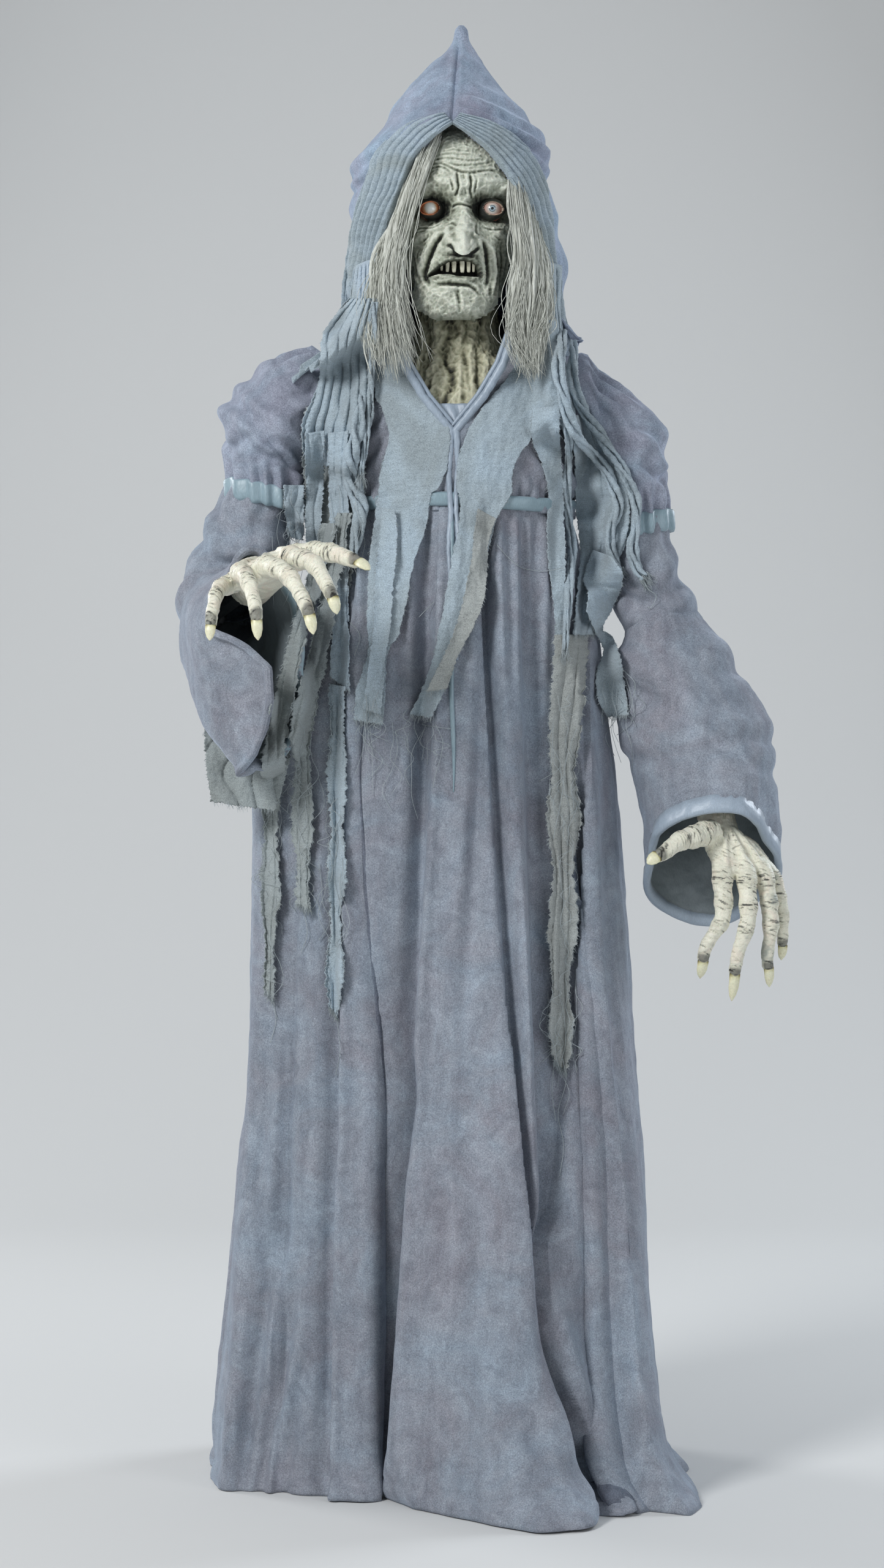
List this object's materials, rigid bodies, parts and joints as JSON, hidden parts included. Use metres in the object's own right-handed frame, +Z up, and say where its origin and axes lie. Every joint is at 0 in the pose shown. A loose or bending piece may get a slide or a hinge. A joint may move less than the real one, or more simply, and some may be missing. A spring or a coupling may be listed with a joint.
{
  "type": "animated witch figure",
  "caption": "Life-size hooded witch figure on a hidden pole stand: latex mask with motor-turned head and hinged jaw, posable arms, moulded hands, velvet robe and torn gauze.",
  "frame": {"origin": "on the floor under the pole, at the middle of the base hub's underside", "axes": "+Z up, the figure faces -Y, +X is the figure's own left"},
  "size_m": [0.7602, 0.7099, 1.83],
  "materials": {
    "steel": "dark grey powder coat on steel tube",
    "black_plastic": "fine moulded texture",
    "moulded_form": "vacuum-formed grey sheet",
    "motor_case": "moulded case",
    "velvet": "crushed velvet, slate blue with lilac mottling and pale nap",
    "gauze": "open weave cheesecloth, dyed grey blue, frayed edges",
    "latex_skin": "matt latex, dry-brushed pale over dark washes",
    "latex_hand": "cream latex with dark brushed wrinkles",
    "hair_fibre": "long grey-white synthetic fibre",
    "eye_blank": "clouded white, orange-red rim",
    "eye_grey": "grey-blue iris",
    "tooth": "stained ivory",
    "button_red": "moulded"
  },
  "bodies": {
    "stand": {"base_hub": "black_plastic", "leg_tube_front_left": "steel", "leg_tube_back_left": "steel", "leg_tube_back_right": "steel", "leg_tube_front_right": "steel", "foot_cap_front_left": "black_plastic", "foot_cap_back_left": "black_plastic", "foot_cap_back_right": "black_plastic", "foot_cap_front_right": "black_plastic", "lower_pole": "steel", "upper_pole": "steel", "pole_coupler": "black_plastic", "shoulder_bar": "steel", "chest_form_front": "moulded_form", "chest_form_back": "moulded_form", "control_box": "black_plastic", "control_box_cover": "black_plastic", "speaker": "motor_case", "neck_motor": "motor_case", "mask_neck": "latex_skin", "robe_skirt": "velvet", "robe_bodice": "velvet", "shawl_left": "gauze", "shawl_right": "gauze", "strip_bunch_left": "gauze", "strip_bunch_right": "gauze", "strip_long_left": "gauze", "strip_long_right": "gauze", "strip_curl_left": "gauze", "strip_short_right": "gauze"},
    "head": {"neck_shaft": "steel", "skull_frame": "moulded_form", "jaw_motor": "motor_case", "eye_left": "eye_grey", "eye_right": "eye_blank", "upper_teeth": "tooth", "mask_face": "latex_skin", "hood": "velvet", "hair_left": "hair_fibre", "hair_right": "hair_fibre", "hood_drape_left": "gauze", "hood_drape_right": "gauze"},
    "jaw": {"jaw_lever": "steel", "mask_jaw": "latex_skin"},
    "mode_button": {"mode_button": "button_red"},
    "upper_arm_right": {"upper_arm_right": "steel", "elbow_bolt_right": "steel", "over_sleeve_right": "velvet", "sleeve_upper_right": "velvet"},
    "forearm_right": {"forearm_right": "steel", "sleeve_lower_right": "velvet"},
    "hand_right": {"hand_right": "latex_hand"},
    "upper_arm_left": {"upper_arm_left": "steel", "elbow_bolt_left": "steel", "over_sleeve_left": "velvet", "sleeve_upper_left": "velvet"},
    "forearm_left": {"forearm_left": "steel", "sleeve_lower_left": "velvet"},
    "hand_left": {"hand_left": "latex_hand"}
  },
  "joints": [
    {"name": "head_turn", "type": "hinge", "parent": "stand", "child": "head", "pos_m": [0, 0, 1.44], "axis": [0, 0, 1], "range_deg": [-32, 32], "deforming": ["mask_neck", "hair_left", "hair_right", "hood_drape_left", "hood_drape_right"]},
    {"name": "jaw_open", "type": "hinge", "parent": "head", "child": "jaw", "pos_m": [0, -0.005, 1.545], "axis": [1, 0, 0], "range_deg": [0, 9]},
    {"name": "shoulder_right", "type": "hinge", "parent": "stand", "child": "upper_arm_right", "pos_m": [-0.162, 0, 1.365], "axis": [-1, 0, 0], "range_deg": [0, 30], "deforming": ["over_sleeve_right"]},
    {"name": "elbow_right", "type": "hinge", "parent": "upper_arm_right", "child": "forearm_right", "pos_m": [-0.305, -0.01, 1.085], "axis": [-0.8614, -0.2384, 0.4485], "range_deg": [0, 20], "deforming": ["sleeve_upper_right"]},
    {"name": "wrist_right", "type": "hinge", "parent": "forearm_right", "child": "hand_right", "pos_m": [-0.215, -0.26, 1.125], "axis": [0.3349, -0.9304, 0.1489], "range_deg": [-30, 30]},
    {"name": "shoulder_left", "type": "hinge", "parent": "stand", "child": "upper_arm_left", "pos_m": [0.162, 0, 1.365], "axis": [-1, 0, 0], "range_deg": [-8, 30], "deforming": ["over_sleeve_left"]},
    {"name": "elbow_left", "type": "hinge", "parent": "upper_arm_left", "child": "forearm_left", "pos_m": [0.27, 0, 1.06], "axis": [-0.8993, 0.2996, -0.3185], "range_deg": [0, 17], "deforming": ["sleeve_upper_left"]},
    {"name": "wrist_left", "type": "hinge", "parent": "forearm_left", "child": "hand_left", "pos_m": [0.325, -0.09, 0.82], "axis": [0.2098, -0.3433, -0.9155], "range_deg": [-15, 15]},
    {"name": "mode_button_press", "type": "slide", "parent": "stand", "child": "mode_button", "axis": [-1, 0, 0], "range_m": [0, 0.004], "stiffness_N_per_m": 300, "springref_m": -0.002}
  ]
}
